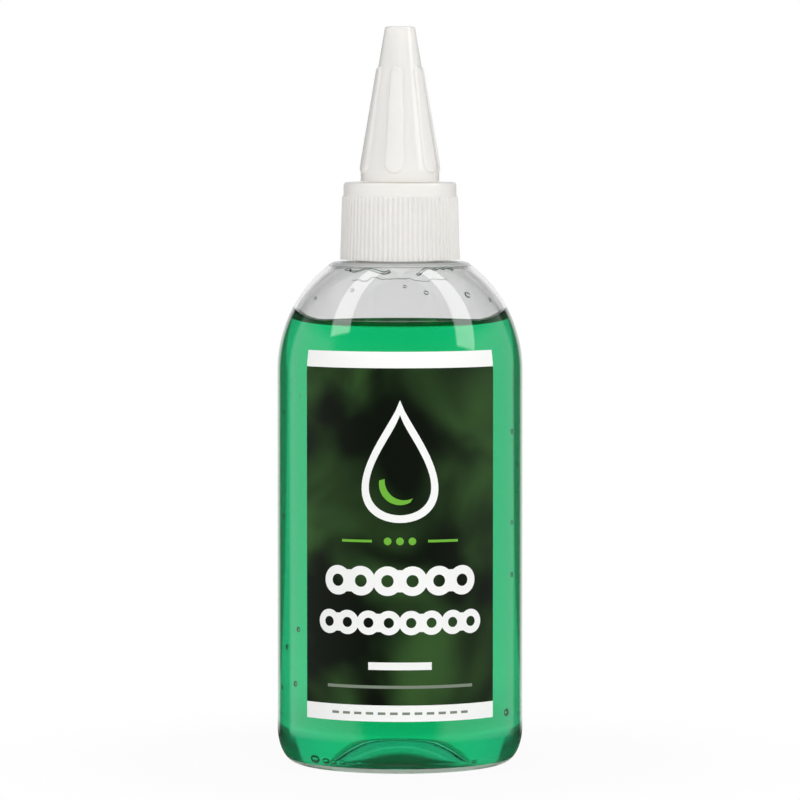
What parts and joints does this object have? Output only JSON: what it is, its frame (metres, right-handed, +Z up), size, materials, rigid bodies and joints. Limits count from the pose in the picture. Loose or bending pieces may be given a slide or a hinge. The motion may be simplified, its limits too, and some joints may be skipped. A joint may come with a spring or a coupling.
{
  "type": "chain lube bottle",
  "caption": "Round clear squeeze bottle of green chain lubricant with a domed shoulder, a front label and a white screw cap whose ribbed cone spout twists open.",
  "frame": {"origin": "centre of the base, on the surface the bottle stands on", "axes": "+Z up along the bottle's axis, the label faces -Y, +X to the right seen from the front"},
  "size_m": [0.049, 0.0491, 0.1467],
  "materials": {
    "clear_pet": "clear, glossy, blown",
    "green_lubricant": "clear green liquid",
    "printed_film": "satin printed film",
    "foam_liner": "matt foamed sheet",
    "white_polypropylene": "satin moulded white"
  },
  "bodies": {
    "filled_bottle": {"bottle": "clear_pet", "lube_fill": "green_lubricant", "front_label": "printed_film"},
    "liner": {"cap_liner": "foam_liner"},
    "cap": {"screw_cap": "white_polypropylene"},
    "spout": {"twist_spout": "white_polypropylene"}
  },
  "joints": [
    {"name": "cap_lift", "type": "slide", "parent": "filled_bottle", "child": "liner", "axis": [0, 0, 1], "range_m": [0, 0.0048]},
    {"name": "cap_turn", "type": "hinge", "parent": "liner", "child": "cap", "pos_m": [0, 0, 0.1], "axis": [0, 0, 1], "range_deg": [0, 540]},
    {"name": "spout_lift", "type": "slide", "parent": "cap", "child": "spout", "axis": [0, 0, 1], "range_m": [0, 0.0032]}
  ],
  "couplings": [
    {"joint": "cap_lift", "follows": "cap_turn", "m_per_rad": 0.00050532}
  ]
}
